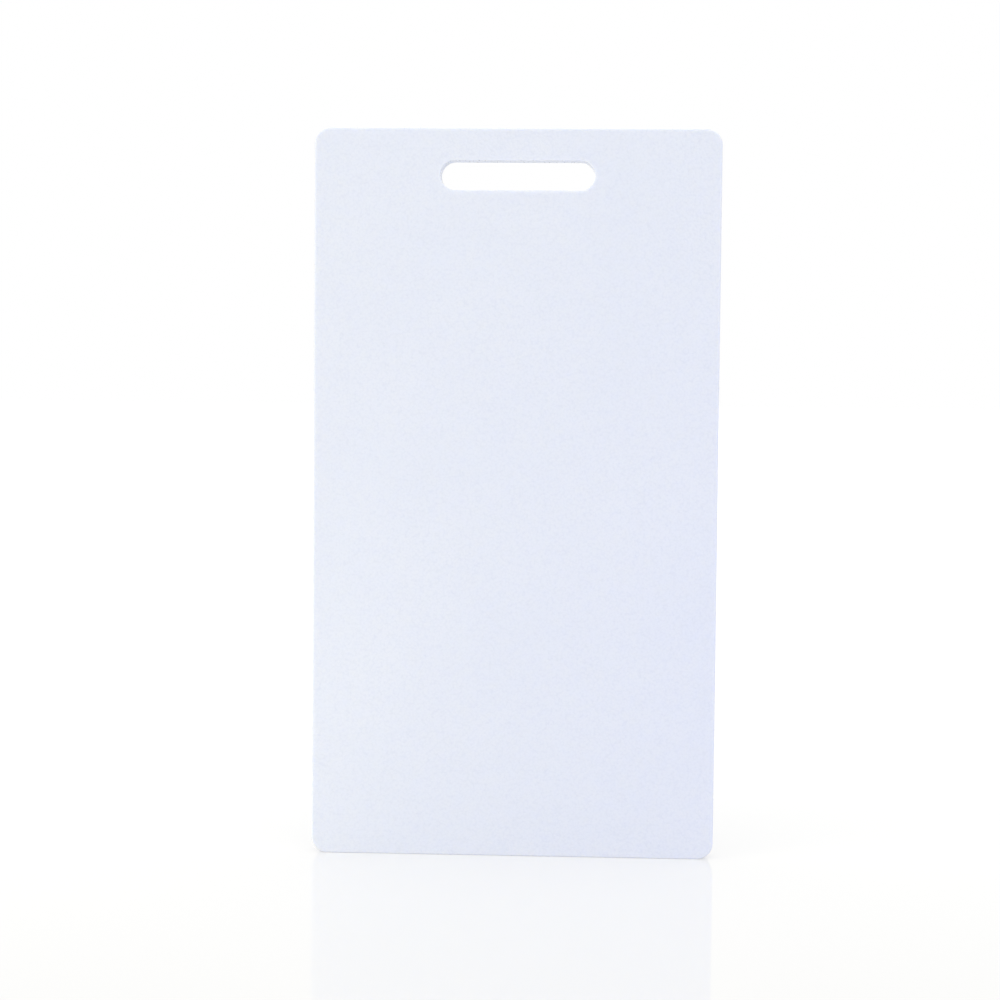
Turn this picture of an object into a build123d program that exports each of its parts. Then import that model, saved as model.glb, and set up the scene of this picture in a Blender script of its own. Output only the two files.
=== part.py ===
"""White polyethylene cutting board: one solid sheet with a hand slot near its top edge.

The board is modelled standing up, the way it is racked or hung. Lengths are in millimetres.
+Z runs up the board towards the hand slot, the front cutting face looks towards -Y, and the
origin is the middle of the foot edge, halfway through the thickness.
"""

from build123d import *

import os

os.makedirs("parts", exist_ok=True)

# Sheet: a stock size of deli and kitchen board
BOARD_HEIGHT = 450.0
BOARD_WIDTH = 250.0
BOARD_THICKNESS = 15.0
CORNER_RADIUS = 10.0
EDGE_ROUND = 1.0

# Hand slot: long enough for four fingers, rounded at both ends by the cutter that made it
SLOT_LENGTH = 95.0
SLOT_WIDTH = 18.0
SLOT_TOP_MARGIN = 20.0
SLOT_RIM_ROUND = 0.5

half_thickness = BOARD_THICKNESS / 2
slot_centre_height = BOARD_HEIGHT - SLOT_TOP_MARGIN - SLOT_WIDTH / 2

# The whole board is a single piece of sheet; both faces are cutting faces and are alike
with BuildPart() as board:

    # Outline with its four rounded corners, drawn on the plane halfway between the two faces
    with BuildSketch(Plane.XZ):
        with Locations((0, BOARD_HEIGHT / 2)):
            RectangleRounded(BOARD_WIDTH, BOARD_HEIGHT, CORNER_RADIUS)
    extrude(amount=half_thickness, both=True)

    # Hand slot, cut straight through from face to face
    with BuildSketch(Plane.XZ):
        with Locations((0, slot_centre_height)):
            SlotOverall(SLOT_LENGTH, SLOT_WIDTH)
    extrude(amount=half_thickness, both=True, mode=Mode.SUBTRACT)

    # Small round-over along the outline of both faces, so that no edge is sharp in the hand
    cutting_faces = board.faces().filter_by(Axis.Y)
    outline_edges = [edge for face in cutting_faces for edge in face.outer_wire().edges()]
    fillet(outline_edges, radius=EDGE_ROUND)

    # The edges are broken a little where the slot comes through each face
    cutting_faces = board.faces().filter_by(Axis.Y).sort_by(SortBy.AREA)[-2:]
    rim_edges = [edge for face in cutting_faces for wire in face.inner_wires() for edge in wire.edges()]
    fillet(rim_edges, radius=SLOT_RIM_ROUND)

board.part.label = "board"
export_step(board.part, "parts/board.step")
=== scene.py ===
"""White polyethylene cutting board with a hand slot, standing on a glossy studio floor.

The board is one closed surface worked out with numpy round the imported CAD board: the two pressed
cutting faces, the machined edge along the outline and the wall of the slot. Lengths are in metres, +Z is
up, the front face looks towards -Y, and the board's width, thickness and height come from the CAD board.
"""

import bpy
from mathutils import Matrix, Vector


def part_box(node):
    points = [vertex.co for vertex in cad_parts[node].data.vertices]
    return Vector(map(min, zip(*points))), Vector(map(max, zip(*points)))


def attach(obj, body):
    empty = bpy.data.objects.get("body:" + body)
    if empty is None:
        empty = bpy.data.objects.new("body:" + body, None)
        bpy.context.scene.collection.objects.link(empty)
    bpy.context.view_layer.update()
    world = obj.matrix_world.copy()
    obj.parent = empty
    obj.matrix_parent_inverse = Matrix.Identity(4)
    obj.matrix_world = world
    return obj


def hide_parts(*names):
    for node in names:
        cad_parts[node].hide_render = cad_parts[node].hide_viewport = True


bl_info = {
    "name": "Cutting Board",
    "version": (1, 0, 0),
    "blender": (4, 5, 0),
    "location": "3D View > Sidebar > Cutting Board",
    "description": "Builds a white polyethylene cutting board and the studio that it stands in",
    "category": "Object",
}

import math

import bpy
import numpy as np

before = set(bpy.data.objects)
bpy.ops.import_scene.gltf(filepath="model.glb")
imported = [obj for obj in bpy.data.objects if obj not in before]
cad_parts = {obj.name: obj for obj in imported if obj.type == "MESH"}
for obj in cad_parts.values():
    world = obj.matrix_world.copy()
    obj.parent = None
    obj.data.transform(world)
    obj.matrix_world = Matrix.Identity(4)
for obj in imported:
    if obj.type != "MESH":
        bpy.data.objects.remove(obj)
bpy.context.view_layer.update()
BOARD_LOW, BOARD_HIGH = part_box("board")
BOARD_SIZE = BOARD_HIGH - BOARD_LOW

MM = 0.001

# How finely the board's surface is divided
CORNER_STEPS = 12
SIDE_SPACING = 2.5 * MM
FACE_RINGS = 24
ROUND_STEPS = 8
WALL_STEPS = 3

# The board's two finishes, by the order of its material slots
PRESSED, MACHINED = 0, 1

# Most of a noise texture's values lie between these
NOISE_LOW, NOISE_HIGH = 0.3, 0.7

# Where the painted shade between two pebbles of the pressed grain starts, and where it is full
PIT_RIM, PIT_FLOOR = 0.15, 0.50

# How far the roughness of a face and of an edge swings to either side of its mean
FACE_SWING, EDGE_SWING = 0.04, 0.05

# How much longer a cutter ridge is across the edge than along it
RIDGE_STRETCH = 10

# Polished cast acrylic: its refractive index, and the roughness of its clearest and dullest patches
ACRYLIC_IOR = 1.49
ACRYLIC_ROUGHNESS = 0.01, 0.03

# The studio's lamps: width, height, place, colour, and whether the floor is lit as well as the board
LAMPS = {
    "overhead": (1.4, 1.4, (0.0, -0.35, 1.60), "FFFFED", True),
    "left_window": (1.2, 1.2, (-2.40, -1.60, 0.80), "FFF1E0", True),
    "left_foot": (0.2, 0.1, (-0.34, -0.15, 0.06), "FFF8D0", False),
    "right_foot": (0.2, 0.1, (0.42, -0.30, 0.07), "5060FF", False),
}

# The camera stands here from the foot of the front face, turned by these degrees about X, Y and Z
CAMERA_PLACE = (0.0534, -1.3687, 0.2925)
CAMERA_TURN = (87.042, -0.540, 2.636)
CAMERA_REACH = 100.0


# ---------------------------------------------------------------- colour and node helpers


def linear(code):
    """Linear RGBA of an sRGB hex code such as "F4F6FA": each channel through the sRGB curve."""
    srgb = np.array([int(code[i:i + 2], 16) for i in (0, 2, 4)]) / 255.0
    rgb = np.where(srgb <= 0.04045, srgb / 12.92, ((srgb + 0.055) / 1.055) ** 2.4)
    return (*rgb.tolist(), 1.0)


def add_node(tree, kind, inputs=None, **settings):
    """Adds a node. settings are its own options; inputs maps a socket to a value or to what feeds it."""
    node = tree.nodes.new(kind)
    for name, value in settings.items():
        setattr(node, name, value)
    for socket, value in (inputs or {}).items():
        if isinstance(value, bpy.types.NodeSocket):
            tree.links.new(value, node.inputs[socket])
        else:
            node.inputs[socket].default_value = value
    return node


def new_material(name):
    """An empty node material and its tree."""
    material = bpy.data.materials.new(name)
    material.use_nodes = True
    material.node_tree.nodes.clear()
    return material, material.node_tree


# ---------------------------------------------------------------- the board's surface


def rounded_loop(width, height, radius):
    """Centres and outward directions (N x 2, in X and Z) round a rounded rectangle that stands on z = 0.

    The point at reach r is its centre plus r times its direction. In a quarter turn the centre stays in
    the corner while the direction swings evenly through 90 degrees; along a side the direction stays
    square to the side while the centre moves evenly to the next corner. Seen from the front the loop runs
    anticlockwise.
    """
    half, low, high = width / 2 - radius, radius, height - radius
    corners = np.array([(half, high), (-half, high), (-half, low), (half, low)])
    swing = np.linspace(0.0, math.pi / 2, CORNER_STEPS + 1)
    centres, angles = [], []
    for k, (corner, following) in enumerate(zip(corners, np.roll(corners, -1, axis=0))):
        centres.append(np.repeat(corner[None], len(swing), axis=0))
        angles.append(swing + k * math.pi / 2)
        steps = round(np.linalg.norm(following - corner) / SIDE_SPACING)
        share = np.linspace(0.0, 1.0, steps + 1)[1:-1, None]
        centres.append(corner + share * (following - corner))
        angles.append(np.full(steps - 1, (k + 1) * math.pi / 2))
    angle = np.concatenate(angles)
    return np.concatenate(centres), np.stack([np.cos(angle), np.sin(angle)], axis=1)


def slot_loop(rim, length, width, height):
    """Centres and outward directions of the hand slot, one pair for each point of the board's outer rim.

    Each rim point is joined to the nearest point of the slot: its centre is the nearest point of the
    slot's middle line, which is as long as the slot less its width and lies at this height, and its
    direction looks from there to the rim point.
    """
    half = (length - width) / 2
    x = np.clip(rim[:, 0], -half, half)
    centres = np.stack([x, np.full_like(x, height)], axis=1)
    away = rim - centres
    return centres, away / np.linalg.norm(away, axis=1, keepdims=True)


def edge_profile(thickness, rounding):
    """How far the edge stands in from the outline, and its Y, from the front face to the back face.

    A quarter circle leaves the front face, a straight wall crosses the thickness, and the same quarter
    circle backwards reaches the back face.
    """
    turn = np.linspace(0.0, math.pi / 2, ROUND_STEPS + 1)
    inset = rounding * (1 - np.sin(turn))
    y = rounding * (1 - np.cos(turn)) - thickness / 2
    wall = np.linspace(y[-1], -y[-1], WALL_STEPS + 1)[1:-1]
    return (
        np.concatenate([inset, np.zeros_like(wall), inset[::-1]]),
        np.concatenate([y, wall, -y[::-1]]),
    )


def sweep(centres, directions, reach, y):
    """A row of points for each (reach, y) of a profile: centre + reach x direction in X and Z, y in Y."""
    flat = centres[None] + reach[:, None, None] * directions[None]
    depth = np.broadcast_to(y[:, None], flat.shape[:2])
    return np.stack([flat[..., 0], depth, flat[..., 1]], axis=-1)


def along(points):
    """Distance covered at each point of a closed loop, with one value more for the way back."""
    closed = np.vstack([points, points[:1]])
    return np.concatenate([[0.0], np.cumsum(np.linalg.norm(np.diff(closed, axis=0), axis=1))])


def board_grid(sizes):
    """The whole board as one grid of points that closes on itself both ways, with its UVs and finishes.

    One way runs round the outline. The other starts at the slot's front rim, crosses the front face to
    the outline, goes over the edge to the back face, crosses that to the slot's back rim and returns
    through the slot. On a face, a point is a mix of the slot's rim and the outer rim, and the shares run
    as half a cosine wave, so the rings lie close together at both rims.
    """
    thickness, height = BOARD_SIZE.y, BOARD_SIZE.z
    outline, out = rounded_loop(BOARD_SIZE.x, height, sizes.corner_radius)
    slot_height = height - sizes.slot_top_margin - sizes.slot_width / 2
    rim = outline + sizes.corner_radius * out
    slot, slot_out = slot_loop(rim, sizes.slot_length, sizes.slot_width, slot_height)

    inset, y = edge_profile(thickness, sizes.edge_round)
    edge = sweep(outline, out, sizes.corner_radius - inset, y)
    inset, y = edge_profile(thickness, sizes.slot_rim_round)
    wall = sweep(slot, slot_out, sizes.slot_width / 2 + inset, y)

    share = (1 - np.cos(np.linspace(0.0, math.pi, FACE_RINGS + 1)))[:, None, None] / 2
    front = (1 - share) * wall[0] + share * edge[0]
    back = (1 - share) * edge[-1] + share * wall[-1]
    points = np.concatenate([front, edge[1:-1], back, wall[-2:0:-1]])

    # The distance covered round the outline or the slot, and across the strip
    edge_rows, wall_rows = len(edge) - 1, len(wall) - 1
    strips = [FACE_RINGS, edge_rows, FACE_RINGS, wall_rows]
    finish = np.repeat([PRESSED, MACHINED, PRESSED, MACHINED], strips)
    outer_way = along(edge[ROUND_STEPS][:, [0, 2]])
    slot_way = along(wall[ROUND_STEPS][:, [0, 2]])
    is_slot = np.arange(len(points)) >= sum(strips) - wall_rows
    way = np.where(is_slot[:, None], slot_way, outer_way)
    across = along(points[:, 0])
    return points, way, across, finish


def quads(rows, columns):
    """Corner numbers of each square of a grid that closes on itself both ways, wound to face outwards."""
    row, column = np.meshgrid(np.arange(rows), np.arange(columns), indexing="ij")
    next_row, next_column = (row + 1) % rows, (column + 1) % columns
    corners = [(row, column), (next_row, column), (next_row, next_column), (row, next_column)]
    return np.stack([r * columns + c for r, c in corners], axis=-1).reshape(-1, 4)


def board_mesh(sizes):
    """The board's mesh: the closed grid, smooth, with one UV map and a finish for each face."""
    points, way, across, finish = board_grid(sizes)
    rows, columns = points.shape[:2]
    place = points.reshape(-1, 3) + np.array([0.0, 0.0, BOARD_LOW.z])
    faces = quads(rows, columns)

    mesh = bpy.data.meshes.new("board_sheet")
    mesh.from_pydata(place.tolist(), [], faces.tolist())
    mesh.polygons.foreach_set("material_index", np.repeat(finish, columns).astype(np.int32))
    mesh.polygons.foreach_set("use_smooth", np.ones(len(faces), bool))

    # Machined strips are laid out by distance round and across; the faces keep their own X and Z
    u = np.stack([way[:, :-1], way[:, :-1], way[:, 1:], way[:, 1:]], axis=-1)
    v = np.stack([across[:-1], across[1:], across[1:], across[:-1]], axis=-1)
    v = np.broadcast_to(v[:, None], u.shape)
    strip = np.stack([u, v], axis=-1).reshape(-1, 4, 2)
    flat = place[faces][..., [0, 2]]
    machined = np.repeat(finish == MACHINED, columns)[:, None, None]
    layer = mesh.uv_layers.new(name="sheet_metres")
    layer.data.foreach_set("uv", np.where(machined, strip, flat).astype(np.float32).ravel())
    mesh.update()
    return mesh


# ---------------------------------------------------------------- materials


def polyethylene(tree, finish, colour, roughness, normal):
    """The plastic itself: milky high-density polyethylene, in which light spreads a millimetre or two.

    The spread softens the edges and corners and keeps the board from looking like painted metal.
    """
    shader = add_node(tree, "ShaderNodeBsdfPrincipled", {
        "Base Color": colour,
        "Roughness": roughness,
        "Normal": normal,
        "IOR": finish.ior,
        "Subsurface Weight": 1.0,
        "Subsurface Radius": finish.scatter_tint,
        "Subsurface Scale": finish.scatter_depth,
    }, subsurface_method="RANDOM_WALK")
    add_node(tree, "ShaderNodeOutputMaterial", {"Surface": shader.outputs["BSDF"]})


def pressed_polyethylene(finish):
    """HDPE sheet pressed between grained plates: a satin face with a pebble that breaks up reflections.

    Under the pebble the sheet is slightly cloudy, as the powder that it is pressed from never blends
    fully.
    """
    material, tree = new_material("pressed_hdpe_face")
    place = add_node(tree, "ShaderNodeTexCoord").outputs["Object"]

    cloud = add_node(tree, "ShaderNodeTexNoise", {
        "Vector": place, "Scale": 1 / finish.cloud_size, "Detail": 3.0, "Roughness": 0.45,
    })
    colour = add_node(tree, "ShaderNodeMix", {
        "Factor": cloud.outputs["Fac"], "A": finish.face_colour, "B": finish.cloud_colour,
    }, data_type="RGBA")

    # Real grain is about 0.5 mm; it is drawn coarser so that it can be seen
    pebble = add_node(tree, "ShaderNodeTexVoronoi", {
        "Vector": place, "Scale": 1 / finish.grain_size, "Smoothness": 0.8,
    }, feature="SMOOTH_F1")
    grain = add_node(tree, "ShaderNodeTexNoise", {
        "Vector": place, "Scale": 2 / finish.grain_size, "Detail": 2.0, "Roughness": 0.5,
    })
    pits = add_node(tree, "ShaderNodeMath", {
        0: pebble.outputs["Distance"], 1: grain.outputs["Fac"],
    }, operation="MULTIPLY")
    normal = add_node(tree, "ShaderNodeBump", {
        "Height": pits.outputs[0], "Strength": 1.0, "Distance": finish.grain_depth,
    }, invert=True)

    # Painted shade: the pits between the pebbles are coloured darker, standing in for the shade that
    # falls in them
    shade = add_node(tree, "ShaderNodeMapRange", {
        "Value": pits.outputs[0], "From Min": PIT_RIM, "From Max": PIT_FLOOR,
    })
    colour = add_node(tree, "ShaderNodeMix", {
        "Factor": shade.outputs["Result"], "A": colour.outputs["Result"], "B": finish.pit_painted_shade_colour,
    }, data_type="RGBA")

    gloss = add_node(tree, "ShaderNodeMapRange", {
        "Value": cloud.outputs["Fac"],
        "From Min": NOISE_LOW, "From Max": NOISE_HIGH,
        "To Min": finish.face_roughness - FACE_SWING, "To Max": finish.face_roughness + FACE_SWING,
    })
    polyethylene(
        tree, finish, colour.outputs["Result"], gloss.outputs["Result"], normal.outputs["Normal"])
    return material


def machined_polyethylene(finish):
    """HDPE cut by a router: glossier than the pressed face, with faint ridges across the edge.

    Each ridge is where one turn of the cutter stopped; the UV map gives the distance travelled in metres.
    Real ridges are about 0.3 mm apart, and they are drawn coarser so that they show; their light and
    shade are also painted into the colour.
    """
    material, tree = new_material("machined_hdpe_edge")
    place = add_node(tree, "ShaderNodeTexCoord").outputs["UV"]
    stretched = add_node(tree, "ShaderNodeMapping", {
        "Vector": place,
        "Scale": (1 / finish.ridge_spacing, 1 / finish.ridge_spacing / RIDGE_STRETCH, 1.0),
    })
    ridges = add_node(tree, "ShaderNodeTexNoise", {
        "Vector": stretched.outputs["Vector"], "Scale": 1.0, "Detail": 2.0, "Roughness": 0.5,
    }, noise_dimensions="2D")
    normal = add_node(tree, "ShaderNodeBump", {
        "Height": ridges.outputs["Fac"], "Strength": 1.0, "Distance": finish.ridge_depth,
    })
    # Painted light and shade: along the cutter's ridges the colour swings between the edge colour and the
    # paler face colour, standing in for the light and shade that the ridges catch
    colour = add_node(tree, "ShaderNodeMix", {
        "Factor": ridges.outputs["Fac"], "A": finish.edge_and_ridge_shade_colour, "B": finish.face_colour,
    }, data_type="RGBA")
    gloss = add_node(tree, "ShaderNodeMapRange", {
        "Value": ridges.outputs["Fac"],
        "From Min": NOISE_LOW, "From Max": NOISE_HIGH,
        "To Min": finish.edge_roughness - EDGE_SWING, "To Max": finish.edge_roughness + EDGE_SWING,
    })
    polyethylene(
        tree, finish, colour.outputs["Result"], gloss.outputs["Result"], normal.outputs["Normal"])
    return material


def floor_acrylic(studio):
    """Opal cast acrylic, polished and lit from below: a clean, faint mirror of the board's foot.

    The lamps under the sheet give it a white of its own, so that it stays pale close to the board too.
    """
    material, tree = new_material("polished_acrylic_floor")
    place = add_node(tree, "ShaderNodeTexCoord").outputs["Object"]
    haze = add_node(tree, "ShaderNodeTexNoise", {
        "Vector": place, "Scale": 1 / studio.floor_haze, "Detail": 1.0,
    })
    roughness = add_node(tree, "ShaderNodeMapRange", {
        "Value": haze.outputs["Fac"], "To Min": ACRYLIC_ROUGHNESS[0], "To Max": ACRYLIC_ROUGHNESS[1],
    })
    shader = add_node(tree, "ShaderNodeBsdfPrincipled", {
        "Base Color": studio.floor_colour,
        "Roughness": roughness.outputs["Result"],
        "IOR": ACRYLIC_IOR,
        "Emission Color": linear("FFFFFF"),
        "Emission Strength": studio.floor_glow,
    })
    add_node(tree, "ShaderNodeOutputMaterial", {"Surface": shader.outputs["BSDF"]})
    return material


# ---------------------------------------------------------------- settings


class CuttingBoardSizes(bpy.types.PropertyGroup):
    """Sizes of the board that its box doesn't give."""

    corner_radius: bpy.props.FloatProperty(
        name="Corner radius", description="Radius of the board's four corners",
        default=10 * MM, min=4 * MM, max=60 * MM, unit="LENGTH")
    edge_round: bpy.props.FloatProperty(
        name="Edge rounding", description="Radius of the round-over along the outline of both faces",
        default=1 * MM, min=0.2 * MM, max=7 * MM, unit="LENGTH")
    slot_length: bpy.props.FloatProperty(
        name="Slot length", description="Length of the hand slot from end to end",
        default=95 * MM, min=40 * MM, max=180 * MM, unit="LENGTH")
    slot_width: bpy.props.FloatProperty(
        name="Slot width", description="Height of the hand slot's opening",
        default=18 * MM, min=8 * MM, max=60 * MM, unit="LENGTH")
    slot_top_margin: bpy.props.FloatProperty(
        name="Slot margin", description="From the board's top edge down to the slot",
        default=20 * MM, min=6 * MM, max=120 * MM, unit="LENGTH")
    slot_rim_round: bpy.props.FloatProperty(
        name="Slot rim rounding", description="Radius of the round-over where the slot meets each face",
        default=0.5 * MM, min=0.2 * MM, max=7 * MM, unit="LENGTH")


class CuttingBoardFinish(bpy.types.PropertyGroup):
    """Colours and texture of the polyethylene."""

    face_colour: bpy.props.FloatVectorProperty(
        name="Face", description="Colour of the pressed faces",
        default=linear("E2E7F3"), size=4, min=0.0, max=1.0, subtype="COLOR")
    cloud_colour: bpy.props.FloatVectorProperty(
        name="Cloudiness", description="Colour of the paler clouds in the sheet",
        default=linear("E6EAF3"), size=4, min=0.0, max=1.0, subtype="COLOR")
    # Painted shade: the colour that the pits between the pebbles are painted with, in place of the shade
    # that falls in them
    pit_painted_shade_colour: bpy.props.FloatVectorProperty(
        name="Pits", description="Colour between the pebbles of the pressed grain",
        default=linear("DEE3EF"), size=4, min=0.0, max=1.0, subtype="COLOR")
    # The machined edge's own colour, which is also the painted shade between the cutter's ridges
    edge_and_ridge_shade_colour: bpy.props.FloatVectorProperty(
        name="Edge", description="Colour of the machined edges between the ridges",
        default=linear("E1E5EE"), size=4, min=0.0, max=1.0, subtype="COLOR")
    scatter_tint: bpy.props.FloatVectorProperty(
        name="Scatter tint", description="How far red, green and blue spread, as shares of the depth",
        default=(1.0, 0.95, 0.85), size=3, min=0.0, max=1.0)
    scatter_depth: bpy.props.FloatProperty(
        name="Scatter depth", description="How far light spreads inside the plastic",
        default=1.5 * MM, min=0.1 * MM, max=20 * MM, unit="LENGTH")
    ior: bpy.props.FloatProperty(
        name="IOR", description="Refractive index of polyethylene",
        default=1.54, min=1.0, max=2.0)
    face_roughness: bpy.props.FloatProperty(
        name="Face roughness", description="Roughness of the pressed faces",
        default=0.42, min=0.05, max=0.9, subtype="FACTOR")
    edge_roughness: bpy.props.FloatProperty(
        name="Edge roughness", description="Roughness of the machined edges",
        default=0.32, min=0.05, max=0.9, subtype="FACTOR")
    cloud_size: bpy.props.FloatProperty(
        name="Cloud size", description="Distance between the clouds in the sheet",
        default=90 * MM, min=5 * MM, max=500 * MM, unit="LENGTH")
    grain_size: bpy.props.FloatProperty(
        name="Grain size", description="Distance between the pebbles of the pressed grain",
        default=1.6 * MM, min=0.1 * MM, max=5 * MM, unit="LENGTH")
    grain_depth: bpy.props.FloatProperty(
        name="Grain depth", description="Depth of the pressed grain",
        default=0.10 * MM, min=0.0, max=0.5 * MM, unit="LENGTH")
    ridge_spacing: bpy.props.FloatProperty(
        name="Ridge spacing", description="Distance that the cutter moved in a turn",
        default=1.0 * MM, min=0.1 * MM, max=5 * MM, unit="LENGTH")
    ridge_depth: bpy.props.FloatProperty(
        name="Ridge depth", description="Depth of the cutter's ridges",
        default=0.03 * MM, min=0.0, max=0.5 * MM, unit="LENGTH")


class CuttingBoardStudio(bpy.types.PropertyGroup):
    """The plain white studio round the board."""

    floor_colour: bpy.props.FloatVectorProperty(
        name="Floor", description="Colour of the floor",
        default=linear("B4B4B4"), size=4, min=0.0, max=1.0, subtype="COLOR")
    floor_glow: bpy.props.FloatProperty(
        name="Floor glow", description="Brightness of the lamps seen through the floor",
        default=0.32, min=0.0, max=2.0)
    floor_reach: bpy.props.FloatProperty(
        name="Floor reach", description="From the middle of the floor to its edges",
        default=30.0, min=1.0, max=50.0, unit="LENGTH")
    floor_haze: bpy.props.FloatProperty(
        name="Floor haze size", description="Distance between the slightly duller patches of the floor",
        default=0.3, min=0.01, max=5.0, unit="LENGTH")
    surround: bpy.props.FloatProperty(
        name="Surround", description="Brightness of the white surround",
        default=1.0, min=0.0, max=5.0)
    overhead_power: bpy.props.FloatProperty(
        name="Overhead light", description="Power of the large soft light above the board",
        default=5.4, min=0.0, unit="POWER")
    left_window_power: bpy.props.FloatProperty(
        name="Left window", description="Power of the large soft light on the left",
        default=16.4, min=0.0, unit="POWER")
    left_foot_power: bpy.props.FloatProperty(
        name="Left foot light", description="Power of the small warm light low on the left",
        default=0.15, min=0.0, unit="POWER")
    right_foot_power: bpy.props.FloatProperty(
        name="Right foot light", description="Power of the small blue light low on the right",
        default=0.2, min=0.0, unit="POWER")
    lens: bpy.props.FloatProperty(
        name="Lens", description="Focal length of the camera in millimetres",
        default=80.0, min=10.0, max=300.0, unit="CAMERA")


# ---------------------------------------------------------------- operators


class CUTTINGBOARD_OT_board(bpy.types.Operator):
    """Builds the board's finished surface and hides the plain CAD board"""

    bl_idname = "cutting_board.make_board"
    bl_label = "Make the board"

    def execute(self, context):
        board = bpy.data.objects.new("board_sheet", board_mesh(context.scene.cutting_board_sizes))
        context.scene.collection.objects.link(board)
        finish = context.scene.cutting_board_finish
        board.data.materials.append(pressed_polyethylene(finish))
        board.data.materials.append(machined_polyethylene(finish))
        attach(board, "root")
        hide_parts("board")
        return {"FINISHED"}


class CUTTINGBOARD_OT_studio(bpy.types.Operator):
    """Builds the floor, the white surround, the soft lights and the camera"""

    bl_idname = "cutting_board.make_studio"
    bl_label = "Make the studio"

    def execute(self, context):
        studio = context.scene.cutting_board_studio
        self.make_floor(context, studio)
        self.make_surround(context, studio)
        self.make_lights(context, studio)
        self.make_camera(context, studio)
        return {"FINISHED"}

    def make_floor(self, context, studio):
        reach = studio.floor_reach
        corners = [(-reach, -reach, 0), (reach, -reach, 0), (reach, reach, 0), (-reach, reach, 0)]
        mesh = bpy.data.meshes.new("studio_floor")
        mesh.from_pydata(corners, [], [(0, 1, 2, 3)])
        mesh.materials.append(floor_acrylic(studio))
        floor = bpy.data.objects.new("studio_floor", mesh)
        context.scene.collection.objects.link(floor)

    def make_surround(self, context, studio):
        world = bpy.data.worlds.new("white_surround")
        world.use_nodes = True
        background = world.node_tree.nodes["Background"]
        background.inputs["Color"].default_value = linear("FFFFFF")
        background.inputs["Strength"].default_value = studio.surround
        context.scene.world = world
        context.scene.view_settings.view_transform = "Standard"

    def make_lights(self, context, studio):
        middle = np.array([0.0, 0.0, BOARD_SIZE.z / 2])
        # The two small foot lamps light the board alone, so that they leave no bright spots on the floor
        only_board = bpy.data.collections.new("lit_by_the_foot_lamps")
        only_board.objects.link(bpy.data.objects["board_sheet"])
        for name, (width, height, place, colour, lights_floor) in LAMPS.items():
            data = bpy.data.lights.new(name, "AREA")
            data.shape = "RECTANGLE"
            data.size, data.size_y = width, height
            data.energy = getattr(studio, name + "_power")
            data.color = linear(colour)[:3]
            light = bpy.data.objects.new(name, data)
            # A lamp shines along its own -Z: tilt that up from straight down, then turn it to the board
            aim = middle - np.array(place)
            aim /= np.linalg.norm(aim)
            light.location = place
            light.rotation_euler = (math.acos(-aim[2]), 0.0, math.atan2(aim[0], -aim[1]) + math.pi)
            light.visible_camera = light.visible_glossy = False
            if not lights_floor:
                light.light_linking.receiver_collection = only_board
            context.scene.collection.objects.link(light)

    def make_camera(self, context, studio):
        data = bpy.data.cameras.new("camera")
        data.lens = studio.lens
        data.clip_end = CAMERA_REACH
        camera = bpy.data.objects.new("camera", data)
        camera.location = np.array(CAMERA_PLACE) + np.array([0.0, BOARD_LOW.y, BOARD_LOW.z])
        camera.rotation_euler = [math.radians(angle) for angle in CAMERA_TURN]
        context.scene.collection.objects.link(camera)
        context.scene.camera = camera


class VIEW3D_PT_cutting_board(bpy.types.Panel):
    """Sizes, finish and studio of the cutting board, and the buttons that build them"""

    bl_label = "Cutting Board"
    bl_space_type = "VIEW_3D"
    bl_region_type = "UI"
    bl_category = "Cutting Board"

    def draw(self, context):
        scene = context.scene
        for group in (scene.cutting_board_sizes, scene.cutting_board_finish, scene.cutting_board_studio):
            box = self.layout.box()
            for name in group.__annotations__:
                box.prop(group, name)
        self.layout.operator(CUTTINGBOARD_OT_board.bl_idname)
        self.layout.operator(CUTTINGBOARD_OT_studio.bl_idname)


GROUPS = {
    "cutting_board_sizes": CuttingBoardSizes,
    "cutting_board_finish": CuttingBoardFinish,
    "cutting_board_studio": CuttingBoardStudio,
}
CLASSES = (*GROUPS.values(), CUTTINGBOARD_OT_board, CUTTINGBOARD_OT_studio, VIEW3D_PT_cutting_board)


def register():
    for each in CLASSES:
        bpy.utils.register_class(each)
    for name, group in GROUPS.items():
        setattr(bpy.types.Scene, name, bpy.props.PointerProperty(type=group))


def unregister():
    for name in GROUPS:
        delattr(bpy.types.Scene, name)
    for each in reversed(CLASSES):
        bpy.utils.unregister_class(each)


def main():
    register()
    bpy.ops.cutting_board.make_board()
    bpy.ops.cutting_board.make_studio()


if __name__ == "__main__":
    main()
